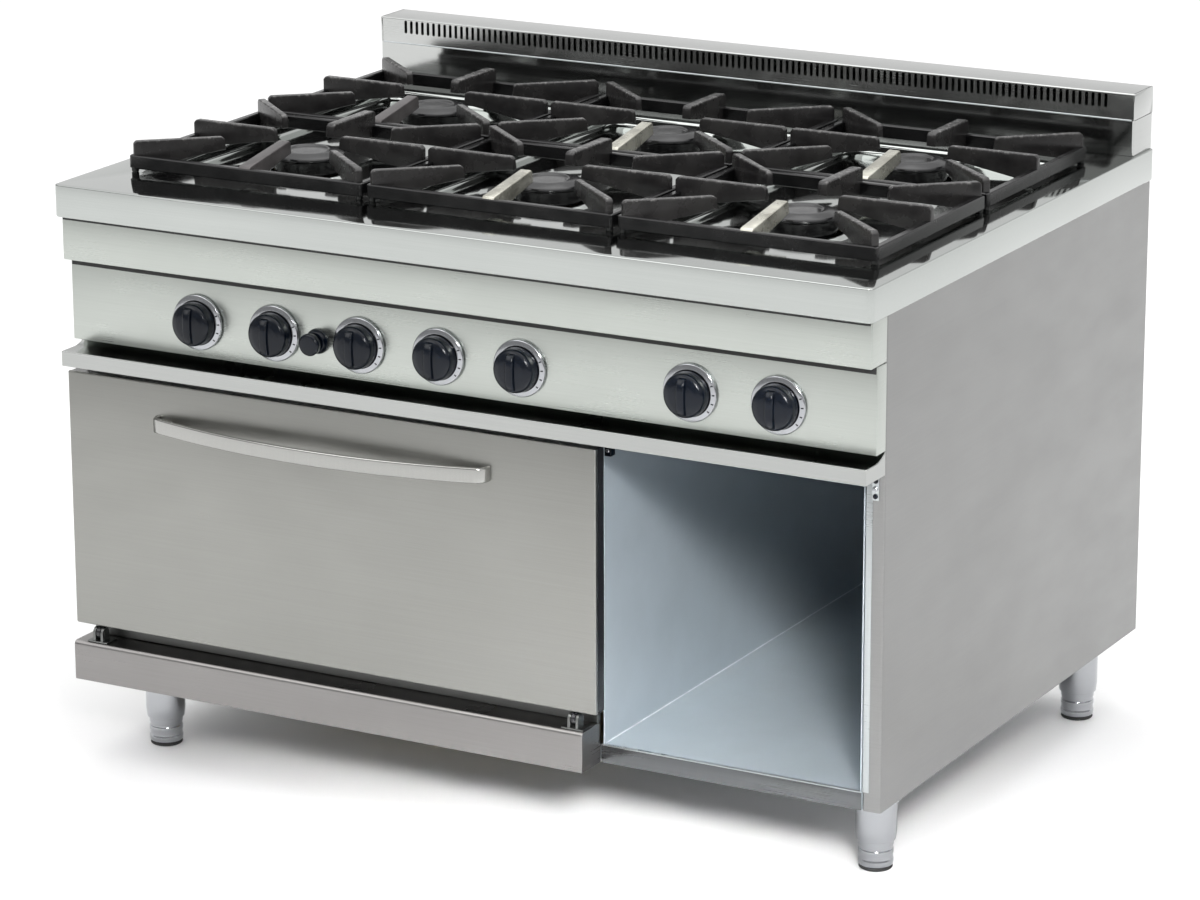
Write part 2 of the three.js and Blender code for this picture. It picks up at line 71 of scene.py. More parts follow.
def lathe(bm, profile, centre, axis="Z", segments=64):
    """Turns (radius, distance) points about an axis through centre; ends on the axis close."""
    centre = Vector(centre)
    along = {"Z": Vector((0, 0, 1)), "-Y": Vector((0, -1, 0)), "X": Vector((1, 0, 0))}[axis]
    u = {"Z": Vector((1, 0, 0)), "-Y": Vector((1, 0, 0)), "X": Vector((0, 1, 0))}[axis]
    v = along.cross(u)
    rows = []
    for radius, distance in profile:
        middle = centre + along * distance
        if radius < 1e-9:
            rows.append([bm.verts.new(middle)])
            continue
        ring = []
        for i in range(segments):
            t = 2 * math.pi * i / segments
            ring.append(bm.verts.new(middle + (u * math.cos(t) + v * math.sin(t)) * radius))
        rows.append(ring)
    for a, b in zip(rows, rows[1:]):
        for i in range(segments):
            j = (i + 1) % segments
            if len(a) == 1 and len(b) == 1:
                continue
            if len(a) == 1:
                bm.faces.new((a[0], b[j], b[i]))
            elif len(b) == 1:
                bm.faces.new((a[i], a[j], b[0]))
            else:
                bm.faces.new((a[i], a[j], b[j], b[i]))


def rounded_profile(points, radius, steps=4):
    """Softens the corners of an open (radius, distance) profile with short arcs."""
    softened = [Vector(points[0])]
    for before, corner, after in zip(points, points[1:], points[2:]):
        p, c, n = Vector(before), Vector(corner), Vector(after)
        reach = min(radius, (p - c).length * 0.45, (n - c).length * 0.45)
        start, end = c + (p - c).normalized() * reach, c + (n - c).normalized() * reach
        for i in range(steps + 1):
            t = i / steps
            softened.append(start * (1 - t) ** 2 + c * 2 * t * (1 - t) + end * t**2)
    softened.append(Vector(points[-1]))
    return [(max(p.x, 0.0), p.y) for p in softened]


def rounded_rectangle(x0, x1, y0, y1, radius, steps=5):
    """Counter-clockwise outline with round corners."""
    points = []
    corners = [
        (x1 - radius, y0 + radius, -90),
        (x1 - radius, y1 - radius, 0),
        (x0 + radius, y1 - radius, 90),
        (x0 + radius, y0 + radius, 180),
    ]
    for cx, cy, start in corners:
        for i in range(steps + 1):
            t = math.radians(start + 90 * i / steps)
            points.append((cx + radius * math.cos(t), cy + radius * math.sin(t)))
    return points


def add_box(bm, lo, hi, radius=0.0, segments=3):
    """Box with rounded edges."""
    lo, hi = Vector(lo), Vector(hi)
    size = hi - lo
    place = Matrix.Translation((lo + hi) / 2) @ Matrix.Diagonal((*size, 1))
    made = bmesh.ops.create_cube(bm, size=1, matrix=place)
    if radius:
        edges = list({e for v in made["verts"] for e in v.link_edges})
        bmesh.ops.bevel(
            bm, geom=edges, offset=radius, segments=segments, profile=0.5, affect="EDGES"
        )


def plate(bm, outline, holes, to_3d, thickness):
    """Flat plate with holes: outline points (u, v), to_3d(u, v, w) with w from 0 to thickness."""
    loops = [outline, *holes]
    flat = [p for loop in loops for p in loop]
    triangles = tessellate_polygon([[Vector((u, v, 0)) for u, v in loop] for loop in loops])
    sheets = []
    for w in (0.0, thickness):
        sheets.append([bm.verts.new(to_3d(u, v, w)) for u, v in flat])
    for a, b, c in triangles:
        bm.faces.new((sheets[0][a], sheets[0][b], sheets[0][c]))
        bm.faces.new((sheets[1][c], sheets[1][b], sheets[1][a]))
    start = 0
    for loop in loops:
        count = len(loop)
        for i in range(count):
            a, b = start + i, start + (i + 1) % count
            bm.faces.new((sheets[0][a], sheets[0][b], sheets[1][b], sheets[1][a]))
        start += count


def folded_section(path, thickness, radius, steps=4):
    """Closed outline of a bent sheet whose middle follows an open path of (u, v) points."""
    middle = [Vector(path[0])]
    for before, corner, after in zip(path, path[1:], path[2:]):
        p, c, n = Vector(before), Vector(corner), Vector(after)
        start, end = c + (p - c).normalized() * radius, c + (n - c).normalized() * radius
        for i in range(steps + 1):
            t = i / steps
            middle.append(start * (1 - t) ** 2 + c * 2 * t * (1 - t) + end * t**2)
    middle.append(Vector(path[-1]))
    left, right = [], []
    for i, p in enumerate(middle):
        ahead = middle[min(i + 1, len(middle) - 1)] - middle[max(i - 1, 0)]
        side = Vector((-ahead.y, ahead.x)).normalized() * (thickness / 2)
        left.append(p + side)
        right.append(p - side)
    return left + list(reversed(right))


def prism(bm, section, to_3d, w0, w1):
    """Closed outline of (u, v) points swept straight from w0 to w1."""
    loops = [[to_3d(p[0], p[1], w) for p in section] for w in (w0, w1)]
    loft(bm, loops, cap_start=True, cap_end=True)


def bar(bm, path, half_width, half_height, radius, up=Vector((0, 0, 1))):
    """Flat bar of rounded section along a path of points."""
    section = rounded_rectangle(-half_width, half_width, -half_height, half_height, radius, 4)
    loops = []
    for i, p in enumerate(path):
        ahead = path[min(i + 1, len(path) - 1)] - path[max(i - 1, 0)]
        side = ahead.normalized().cross(up).normalized()
        loops.append([p + side * u + up * v for u, v in section])
    loft(bm, loops, cap_start=True, cap_end=True)


def tube(bm, points, radii, segments=24):
    """Closed round tube along points, with a radius for each."""
    loops = []
    for i, (p, radius) in enumerate(zip(points, radii)):
        ahead = (points[min(i + 1, len(points) - 1)] - points[max(i - 1, 0)]).normalized()
        side = ahead.cross(Vector((0, 0, 1))).normalized()
        up = side.cross(ahead)
        turns = [2 * math.pi * k / segments for k in range(segments)]
        loops.append([p + (side * math.cos(t) + up * math.sin(t)) * radius for t in turns])
    loft(bm, loops, cap_start=True, cap_end=True)


def piece(name, bm, material, body=BODY, replaces=(), smooth=35, bevel=0.0, segments=2):
    """Turns a bmesh into a named piece with one material that rides on a body."""
    bmesh.ops.recalc_face_normals(bm, faces=bm.faces)
    mesh = bpy.data.meshes.new(name)
    bm.to_mesh(mesh)
    bm.free()
    mesh.shade_smooth()
    mesh.set_sharp_from_angle(angle=math.radians(smooth))
    obj = bpy.data.objects.new(name, mesh)
    bpy.context.scene.collection.objects.link(obj)
    mesh.materials.append(material)
    if bevel:
        soften = obj.modifiers.new("edges", "BEVEL")
        soften.width = bevel
        soften.segments = segments
        soften.limit_method = "ANGLE"
        soften.angle_limit = math.radians(40)
        soften.use_clamp_overlap = True
        soften.harden_normals = True
    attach(obj, body)
    if replaces:
        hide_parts(*replaces)
    return obj


def softened_copy(node, material, body=BODY, bevel=0.0006):
    """A CAD node's own shape with its edges eased."""
    bm = bmesh.new()
    bm.from_mesh(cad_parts[node].data)
    bmesh.ops.remove_doubles(bm, verts=bm.verts, dist=1e-5)
    bmesh.ops.dissolve_limit(
        bm, angle_limit=math.radians(1), verts=bm.verts, edges=bm.edges
    )
    return piece(f"{node}_eased", bm, material, body, [node], bevel=bevel)


# ---------------------------------------------------------------- materials


class Graph:
    """Small wrapper for building one node material."""

    def __init__(self, name):
        self.material = bpy.data.materials.new(name)
        self.material.use_nodes = True
        self.tree = self.material.node_tree
        self.shader = self.tree.nodes["Principled BSDF"]
        self.coords = self.tree.nodes.new("ShaderNodeTexCoord")

    def add(self, kind, **values):
        node = self.tree.nodes.new(kind)
        for key, value in values.items():
            setattr(node, key, value)
        return node

    def link(self, source, target):
        self.tree.links.new(source, target)

    def noise(self, scale, stretch=(1, 1, 1), detail=3.0, roughness=0.55):
        mapping = self.add("ShaderNodeMapping")
        mapping.inputs["Scale"].default_value = stretch
        self.link(self.coords.outputs["Object"], mapping.inputs["Vector"])
        noise = self.add("ShaderNodeTexNoise")
        noise.inputs["Scale"].default_value = scale
        noise.inputs["Detail"].default_value = detail
        noise.inputs["Roughness"].default_value = roughness
        self.link(mapping.outputs["Vector"], noise.inputs["Vector"])
        return noise.outputs["Fac"]

    def remap(self, value, low, high, from_low=0.3, from_high=0.7):
        node = self.add("ShaderNodeMapRange")
        node.inputs["From Min"].default_value = from_low
        node.inputs["From Max"].default_value = from_high
        node.inputs["To Min"].default_value = low
        node.inputs["To Max"].default_value = high
        self.link(value, node.inputs["Value"])
        return node.outputs["Result"]

    def math(self, operation, a, b):
        node = self.add("ShaderNodeMath", operation=operation)
        for socket, value in zip(node.inputs, (a, b)):
            if isinstance(value, (int, float)):
                socket.default_value = value
            else:
                self.link(value, socket)
        return node.outputs["Value"]

    def mix(self, factor, a, b):
        node = self.add("ShaderNodeMix", data_type="RGBA")
        pairs = ((node.inputs["Factor"], factor), (node.inputs["A"], a), (node.inputs["B"], b))
        for socket, value in pairs:
            if isinstance(value, (int, float)):
                socket.default_value = value
            elif isinstance(value, tuple):
                socket.default_value = (*value[:3], 1.0)
            else:
                self.link(value, socket)
        return node.outputs["Result"]

    def bump(self, height, strength, distance):
        node = self.add("ShaderNodeBump")
        node.inputs["Strength"].default_value = strength
        node.inputs["Distance"].default_value = distance
        self.link(height, node.inputs["Height"])
        self.link(node.outputs["Normal"], self.shader.inputs["Normal"])


def tint(colour, factor):
    return tuple(min(c * factor, 1.0) for c in colour)


def steel(name, colour, roughness, grain=(6, 6, 900), smudge=0.04, contrast=0.05, bump=0.12):
    """Stainless sheet: fine brushed grain, cloudy tone and faint wiping marks."""
    g = Graph(name)
    streaks = g.noise(1.0, grain, detail=4.0, roughness=0.7)
    clouds = g.noise(3.5, detail=2.0)
    wiping = g.noise(9.0, (1, 1, 2.6), detail=4.0)
    tone = g.math("ADD", g.math("MULTIPLY", streaks, 0.6), g.math("MULTIPLY", clouds, 0.4))
    shade = g.remap(tone, 0.0, 1.0, 0.35, 0.65)
    base = g.mix(shade, tint(colour, 1 - contrast), tint(colour, 1 + contrast))
    g.link(base, g.shader.inputs["Base Color"])
    brushed = g.remap(streaks, roughness - 0.03, roughness + 0.03)
    rough = g.math("ADD", brushed, g.remap(wiping, -smudge, smudge))
    g.link(rough, g.shader.inputs["Roughness"])
    g.shader.inputs["Metallic"].default_value = 1.0
    g.bump(streaks, bump, 0.0002)
    return g.material


def cast_iron(name, dark, light, scuffed_highlight_colour, roughness, metallic=0.0):
    """Black enamelled casting and its lighter copies: pebbled skin, dull patches, and rubbed high
    spots that are partly wear and partly a painted highlight on the tops.
    """
    g = Graph(name)
    pebble = g.noise(420.0, detail=2.0)
    patches = g.noise(26.0, detail=4.0)
    colour = g.mix(g.remap(patches, 0.0, 1.0), dark, light)
    scuffs = g.noise(140.0, (1, 1, 0.4), detail=5.0, roughness=0.7)
    split = g.add("ShaderNodeSeparateXYZ")
    g.link(g.coords.outputs["Object"], split.inputs["Vector"])
    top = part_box("grate_front_left")[1].z
    # wear and painted highlight on the tops are tied to the casting's own height, so that they stay
    # put when a grate is lifted
    height = g.remap(split.outputs["Z"], 0.0, 1.0, top - 0.0035, top - 0.0005)
    scuffed_highlight_mask = g.math("MULTIPLY", height, g.remap(scuffs, 0.0, 0.5, 0.5, 0.75))
    g.link(g.mix(scuffed_highlight_mask, colour, scuffed_highlight_colour), g.shader.inputs["Base Color"])
    g.link(g.remap(patches, roughness - 0.06, roughness + 0.08), g.shader.inputs["Roughness"])
    g.shader.inputs["Metallic"].default_value = metallic
    g.shader.inputs["Specular IOR Level"].default_value = 0.45
    g.bump(pebble, 0.16, 0.0005)
    return g.material


def glossy(
    name,
    colour,
    roughness,
    speckle=0.04,
    coat=0.0,
    scale=60.0,
    bump=0.05,
    metallic=0.0,
    contrast=0.15,
    specular=0.5,
):
    """Smooth moulded or enamelled surface with faint unevenness."""
    g = Graph(name)
    unevenness = g.noise(scale, detail=4.0)
    shade = g.remap(unevenness, 0.0, 1.0)
    base = g.mix(shade, tint(colour, 1 - contrast), tint(colour, 1 + contrast))
    g.link(base, g.shader.inputs["Base Color"])
    rough = g.remap(unevenness, roughness - speckle, roughness + speckle)
    g.link(rough, g.shader.inputs["Roughness"])
    g.shader.inputs["Metallic"].default_value = metallic
    g.shader.inputs["Specular IOR Level"].default_value = specular
    g.shader.inputs["Coat Weight"].default_value = coat
    g.shader.inputs["Coat Roughness"].default_value = 0.05
    g.bump(unevenness, bump, 0.0004)
    return g.material


# painted shade: the door face takes a darker copy of the fascia's stainless
BRUSHED_PAINTED_SHADE = steel("brushed_steel", (0.33, 0.33, 0.312), 0.33)
FASCIA = steel("fascia_steel", (0.49, 0.515, 0.485), 0.30)
# painted shade: the side sheets and post take a darker copy of the stainless, for the less light on
# the sides
SIDE_PAINTED_SHADE = steel("side_steel", (0.30, 0.30, 0.297), 0.36)
# painted shade: the plinth takes a darker copy of the stainless
PLINTH_PAINTED_SHADE = steel("plinth_steel", (0.30, 0.29, 0.285), 0.32)
HOB = steel("hob_steel", (0.47, 0.49, 0.475), 0.07, grain=(4, 700, 700), smudge=0.02, bump=0.03)
POLISHED = steel("polished_steel", (0.52, 0.53, 0.52), 0.13, smudge=0.03, bump=0.05)
GRILLE = steel("grille_steel", (0.56, 0.57, 0.56), 0.24, smudge=0.03, bump=0.05)
HANDLE = steel("handle_steel", (0.40, 0.40, 0.385), 0.16, grain=(900, 6, 6), smudge=0.03, bump=0.05)
LEDGE = steel("ledge_steel", (0.42, 0.43, 0.42), 0.09, smudge=0.02, bump=0.03)
# painted shade: a dark copy of the stainless for the face frame and hinges, standing for the shade
# in the gap above the door
SATIN_PAINTED_SHADE = steel("satin_steel", (0.20, 0.205, 0.20), 0.40)
TRIM = steel("trim_steel", (0.56, 0.59, 0.60), 0.30)
# painted shade: the cabinet's floor rail takes a near-black copy of the stainless, for the shade it
# sits in
RAIL_PAINTED_SHADE = steel("cabinet_rail_steel", (0.14, 0.145, 0.15), 0.30)
ZINC = steel(
    "galvanised", (0.40, 0.41, 0.42), 0.48, grain=(40, 40, 40), contrast=0.12, bump=0.05
)
CHROME = steel(
    "chrome", (0.44, 0.45, 0.47), 0.17, grain=(60, 60, 60), smudge=0.03, contrast=0.03, bump=0.01
)
IRON = cast_iron(
    "cast_iron", (0.003, 0.003, 0.0035), (0.010, 0.0095, 0.010), (0.08, 0.076, 0.074), 0.21
)
# painted light: the fingers take a lighter copy of the frame's black iron so that they read as lit
# faces
FINGER_PAINTED_LIT = cast_iron(
    "heated_iron", (0.014, 0.013, 0.0135), (0.034, 0.0325, 0.032), (0.46, 0.45, 0.44), 0.25
)
# painted shade: a dimmer copy of the pale front-finger iron, for the weaker glints on the left
# column
SCUFFED_WEAK_GLINT = cast_iron(
    "dulled_iron", (0.06, 0.055, 0.055), (0.14, 0.13, 0.13), (0.36, 0.34, 0.34), 0.30, 0.4
)
# the front fingers' pale iron is partly wear and partly a painted highlight standing for glints
SCUFFED_GLINT = cast_iron(
    "worn_iron", (0.30, 0.29, 0.25), (0.66, 0.65, 0.57), (0.86, 0.85, 0.77), 0.26, 0.7
)
ENAMEL = glossy("black_enamel", (0.012, 0.012, 0.014), 0.2, coat=0.4)
CAP = glossy("burner_cap_enamel", (0.010, 0.010, 0.011), 0.22, scale=220.0, bump=0.10)
KNOB = glossy("knob_plastic", (0.0015, 0.0035, 0.008), 0.22, scale=180.0, specular=0.32)
RUBBER = glossy("black_rubber", (0.02, 0.02, 0.02), 0.7, scale=300.0, bump=0.1)
BRASS = glossy("brass", (0.50, 0.37, 0.14), 0.34, scale=45.0, metallic=1.0)
WOOL = glossy("mineral_wool", (0.42, 0.33, 0.15), 0.95, scale=500.0, bump=0.6)
CABINET = glossy(
    "cabinet_steel",
    (0.42, 0.475, 0.515),
    0.30,
    speckle=0.02,
    scale=14.0,
    bump=0.004,
    metallic=0.3,
    contrast=0.04,
)
# painted highlight: a pale, mostly matt colour so that the fold inside the cabinet reads as a bright
# line
FOLD_PAINTED_HIGHLIGHT = glossy("folded_seam", (0.70, 0.74, 0.78), 0.32, scale=30.0, metallic=0.2)

NODE_MATERIALS = {
    "base_frame": ZINC,
    "back_panel": ZINC,
    "gas_manifold": BRASS,
    "oven_insulation": WOOL,
    "oven_burner": ZINC,
    "oven_floor_plate": IRON,
    "oven_cavity": ENAMEL,
    "oven_gasket": RUBBER,
    "oven_rack": CHROME,
}
for node, material in NODE_MATERIALS.items():
    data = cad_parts[node].data
    for index in range(len(data.materials)):
        data.materials[index] = material


# ---------------------------------------------------------------- hob

WELL = {"half": 0.160, "front": 0.085, "rear": 0.681, "depth": 0.014, "corner": 0.024}
HOLE_RADIUS = 0.052
# (outward of the hole, above the floor of the well)
RAISED_RIM = ((0.012, 0), (0.008, 0.0008), (0.005, 0.003), (0.002, 0.0038), (0, 0.003), (0, -0.002))
TUBE_RADIUS, BELL_RADIUS, BELL_LENGTH, TUBE_DROP = 0.011, 0.0148, 0.022, 0.0567


def burner_centre(place):
    lo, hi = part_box(f"burner_cap_{place}")
    return (lo.x + hi.x) / 2, (lo.y + hi.y) / 2


def lip(inset_start, drop_start, radius, sign, steps=5):
    """(inset, drop) pairs round a quarter bend; sign 1 turns from flat to down, -1 back to flat."""
    pairs = []
    for i in range(steps + 1):
        t = math.pi / 2 * i / steps
        if sign > 0:
            inset, drop = radius * math.sin(t), radius * (1 - math.cos(t))
            pairs.append((inset_start + inset, drop_start + drop))
        else:
            inset, drop = radius * (1 - math.cos(t)), radius * math.sin(t)
            pairs.append((inset_start + inset, drop_start + drop))
    return pairs


def make_worktop():
    lo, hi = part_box("worktop")
    front = lo.y - (-0.056)
    top, rim = hi.z, 0.0014
    bm = bmesh.new()

    def outline(inset, corner=0.010):
        return rounded_rectangle(
            lo.x + inset, hi.x - inset, lo.y + inset, hi.y - inset, max(corner - inset, 0.002), 5
        )

    # apron: from the top edge down to a short inward return
    turns = [math.pi / 2 * i / 5 for i in range(6)]
    steps = [(rim - rim * math.sin(t), rim - rim * math.cos(t)) for t in turns]
    apron = [[Vector((x, y, top - drop)) for x, y in outline(inset)] for inset, drop in steps]
    bottom = lo.z
    foot = ((0.0, bottom + 0.002), (0.0006, bottom + 0.0006), (0.002, bottom), (0.012, bottom))
    for inset, z in foot:
        apron.append([Vector((x, y, z)) for x, y in outline(inset)])
    outer = loft(bm, apron)[0]

    holes = []
    round_hole = [2 * math.pi * i / 64 for i in range(64)]
    for column in ("left", "centre", "right"):
        centre_x = burner_centre(f"front_{column}")[0]

        def well(inset):
            return rounded_rectangle(
                centre_x - WELL["half"] + inset,
                centre_x + WELL["half"] - inset,
                front + WELL["front"] + inset,
                front + WELL["rear"] - inset,
                WELL["corner"],
                6,
            )

        bends = lip(-0.003, 0.0, 0.004, 1)
        bends += lip(0.0025, WELL["depth"] - 0.005, 0.005, -1)
        loops = [[Vector((x, y, top - drop)) for x, y in well(inset)] for inset, drop in bends]
        rows = loft(bm, loops)
        holes.append(rows[0])
        # floor of the well round its two burner holes, each with a raised rim
        rims = []
        for row in ("front", "rear"):
            cx, cy = burner_centre(f"{row}_{column}")
            rings = []
            for grow, lift in RAISED_RIM:
                radius, z = HOLE_RADIUS + grow, top - WELL["depth"] + lift
                rings.append(
                    [Vector((cx + radius * math.cos(t), cy + radius * math.sin(t), z))
                     for t in round_hole]
                )
            rims.append(loft(bm, rings)[0])
        fill(bm, rows[-1], rims)
    flue = rounded_rectangle(-0.560, 0.560, front + 0.785, front + 0.828, 0.004, 2)
    slot_rows = loft(bm, [[Vector((x, y, top - d)) for x, y in flue] for d in (0, 0.002)])
    fill(bm, outer, [*holes, slot_rows[0]])
    obj = piece("hob_top", bm, HOB, replaces=["worktop"], smooth=50)
    thick = obj.modifiers.new("sheet", "SOLIDIFY")
    thick.thickness = 0.0015
    thick.offset = -1


def fill(bm, outer, holes):
    """Flat faces between an outer ring of vertices and rings inside it."""
    loops = [outer, *holes]
    flat = [v for loop in loops for v in loop]
    for a, b, c in tessellate_polygon([[v.co for v in loop] for loop in loops]):
        bm.faces.new((flat[a], flat[b], flat[c]))


def make_splash_back():
    lo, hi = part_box("splash_back")
    bm = bmesh.new()
    wall = 0.0015
    loops = [
        rounded_rectangle(lo.x + i, hi.x - i, lo.y + i, hi.y - i, 0.003, 4) for i in (0, wall)
    ]
    rows = [
        loft(bm, [[Vector((x, y, z)) for x, y in loop] for z in (lo.z, hi.z)]) for loop in loops
    ]
    for end in (0, 1):
        outside, inside = rows[0][end], rows[1][end]
        for i in range(len(outside)):
            j = (i + 1) % len(outside)
            bm.faces.new((outside[i], outside[j], inside[j], inside[i]))
    piece("splash_back_sheet", bm, POLISHED, replaces=["splash_back"])


SLOT = {"count": 118, "pitch": 0.00945, "width": 0.0046, "height": 0.019, "down": 0.0028}
END_WALL = 0.003


def make_flue_hood():
    lo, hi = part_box("flue_hood")
    bm = bmesh.new()
    wall = 0.0015
    # front sheet with its row of slots
    slots = []
    for i in range(SLOT["count"]):
        x = (i - (SLOT["count"] - 1) / 2) * SLOT["pitch"]
        high = hi.z - SLOT["down"]
        half = SLOT["width"] / 2
        slots.append(rounded_rectangle(x - half, x + half, high - SLOT["height"], high, 0.0018, 2))
    x0, x1, z1 = lo.x + END_WALL, hi.x - END_WALL, hi.z - 0.002
    sheet = [(x0, lo.z), (x1, lo.z), (x1, z1), (x0, z1)]
    plate(bm, sheet, slots, lambda u, v, w: Vector((u, lo.y + w, v)), wall)
    piece("flue_grille", bm, GRILLE)
    # bright folded edge where the hood meets the splash back
    bm = bmesh.new()
    crease = [Vector((x, lo.y + 0.0002, lo.z)) for x in (lo.x + 0.004, hi.x - 0.004)]
    tube(bm, crease, [0.0011, 0.0011], 12)
    piece("flue_crease", bm, TRIM)
    # top, back and ends as one folded cover
    bm = bmesh.new()
    front, back, high = lo.y + 0.0004, hi.y - wall / 2, hi.z - wall / 2
    path = [(front, hi.z - 0.0026), (front, high), (back, high), (back, lo.z)]
    section = folded_section(path, wall, 0.0011)
    prism(bm, section, lambda u, v, w: Vector((w, u, v)), lo.x + 0.0002, hi.x - 0.0002)
    for x0, x1 in ((lo.x, lo.x + END_WALL), (hi.x - END_WALL, hi.x)):
        add_box(bm, (x0, lo.y, lo.z), (x1, hi.y, hi.z), 0.001, 2)
    piece("flue_cover", bm, POLISHED, replaces=["flue_hood"])


def finger_solid(bm, centre, angle, inner, outer, low, frame_top, top, half, outer_top):
    """One casting finger: tapered plate pointing at the burner, all its edges rounded."""
    side = [
        (inner, frame_top + 0.001),
        (inner + 0.002, top - 0.003),
        (inner + 0.006, top),
        (outer - 0.004, outer_top),
        (outer, outer_top - 0.004),
        (outer, low),
        (outer - 0.024, low),
        (outer - 0.034, low + 0.006),
    ]
    turn = Matrix.Rotation(angle, 4, "Z")
    new_verts = []
    rows = []
    for sign in (-1, 1):
        row = []
        for along, z in side:
            narrow = half * (1.0 if along > inner + 0.03 else 0.86)
            p = turn @ Vector((along, sign * narrow, 0))
            row.append(bm.verts.new((centre[0] + p.x, centre[1] + p.y, z)))
        rows.append(row)
        new_verts += row
    count = len(side)
    for i in range(count):
        j = (i + 1) % count
        bm.faces.new((rows[0][i], rows[0][j], rows[1][j], rows[1][i]))
    bm.faces.new(rows[0])
    bm.faces.new(list(reversed(rows[1])))
    edges = {e for v in new_verts for e in v.link_edges}
    bmesh.ops.bevel(bm, geom=list(edges), offset=0.0016, segments=3, profile=0.5, affect="EDGES")


def grate_mesh(lo, hi):
    """One grate as three castings that overlap: frame with feet, fingers, and front finger."""
    bm = bmesh.new()
    centre = ((lo.x + hi.x) / 2, (lo.y + hi.y) / 2)
    half_x, half_y = (hi.x - lo.x) / 2, (hi.y - lo.y) / 2
    low, frame_top, top = lo.z + 0.0047, lo.z + 0.0227, hi.z
    width = 0.010
    outer = rounded_rectangle(-half_x, half_x, -half_y, half_y, 0.006, 4)
    inside_x, inside_y = half_x - width, half_y - width
    inner = rounded_rectangle(-inside_x, inside_x, -inside_y, inside_y, 0.004, 4)
    ease = 0.0014
    ring = []
    for outline, side in ((outer, 1), (inner, -1)):
        reach_x = half_x - (0 if side > 0 else width)
        reach_y = half_y - (0 if side > 0 else width)
        for z, pull in ((low, ease), (low + ease, 0), (frame_top - ease, 0), (frame_top, ease)):
            scale_x = (reach_x - side * pull) / reach_x
            scale_y = (reach_y - side * pull) / reach_y
            ring.append(
                [Vector((centre[0] + u * scale_x, centre[1] + v * scale_y, z)) for u, v in outline]
            )
    order = [ring[0], ring[1], ring[2], ring[3], ring[7], ring[6], ring[5], ring[4], ring[0]]
    rows = loft(bm, order)
    bmesh.ops.remove_doubles(bm, verts=rows[0] + rows[-1], dist=1e-7)
    corner = math.atan2(half_y, half_x)
    diagonal = math.hypot(half_x, half_y) - 0.0075
    slim, medium, broad = 0.0052, 0.0078, 0.0092
    side_tip, row_tip, corner_tip = 0.050, 0.054, 0.112
    end_x, end_y = half_x - 0.001, half_y - 0.001
    fingers = [
        (0, side_tip, end_x, slim),
        (math.pi, side_tip, end_x, slim),
        (math.pi / 2, row_tip, end_y, medium),
        (corner, corner_tip, diagonal, slim),
        (math.pi - corner, corner_tip, diagonal, slim),
        (corner - math.pi, corner_tip, diagonal, slim),
        (-corner, corner_tip, diagonal, slim),
    ]
    prongs = bmesh.new()
    for angle, start, end, half in fingers:
        finger_solid(prongs, centre, angle, start, end, low, frame_top, top, half, top)
    glint_finger = bmesh.new()
    shoulder = frame_top + 0.003
    finger_solid(
        glint_finger, centre, -math.pi / 2, row_tip, end_y, low, frame_top, top, broad, shoulder
    )
    foot_inset, foot_radius, foot_top = 0.0068, 0.005, low + 0.003
    profile = [
        (0, lo.z),
        (0.0042, lo.z),
        (foot_radius, lo.z + 0.001),
        (foot_radius, foot_top),
        (0, foot_top),
    ]
    for sx in (-1, 1):
        for sy in (-1, 1):
            x = centre[0] + sx * (half_x - foot_inset)
            y = centre[1] + sy * (half_y - foot_inset)
            lathe(bm, profile, (x, y, 0), segments=20)
    return bm, prongs, glint_finger


def make_grates():
    for place in PLACES:
        lo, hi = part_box(f"grate_{place}")
        ring, prongs, glint_finger = grate_mesh(lo, hi)
        body = f"{place}_grate"
        piece(f"pan_grate_{place}", ring, IRON, body, [f"grate_{place}"], smooth=40)
        piece(f"grate_fingers_{place}", prongs, FINGER_PAINTED_LIT, body, smooth=40)
        # painted light: the left column takes the dimmer painted glint, the others the pale painted
        # highlight
        glint_skin = SCUFFED_WEAK_GLINT if place.endswith("left") else SCUFFED_GLINT
        piece(f"grate_front_finger_{place}", glint_finger, glint_skin, body, smooth=40)


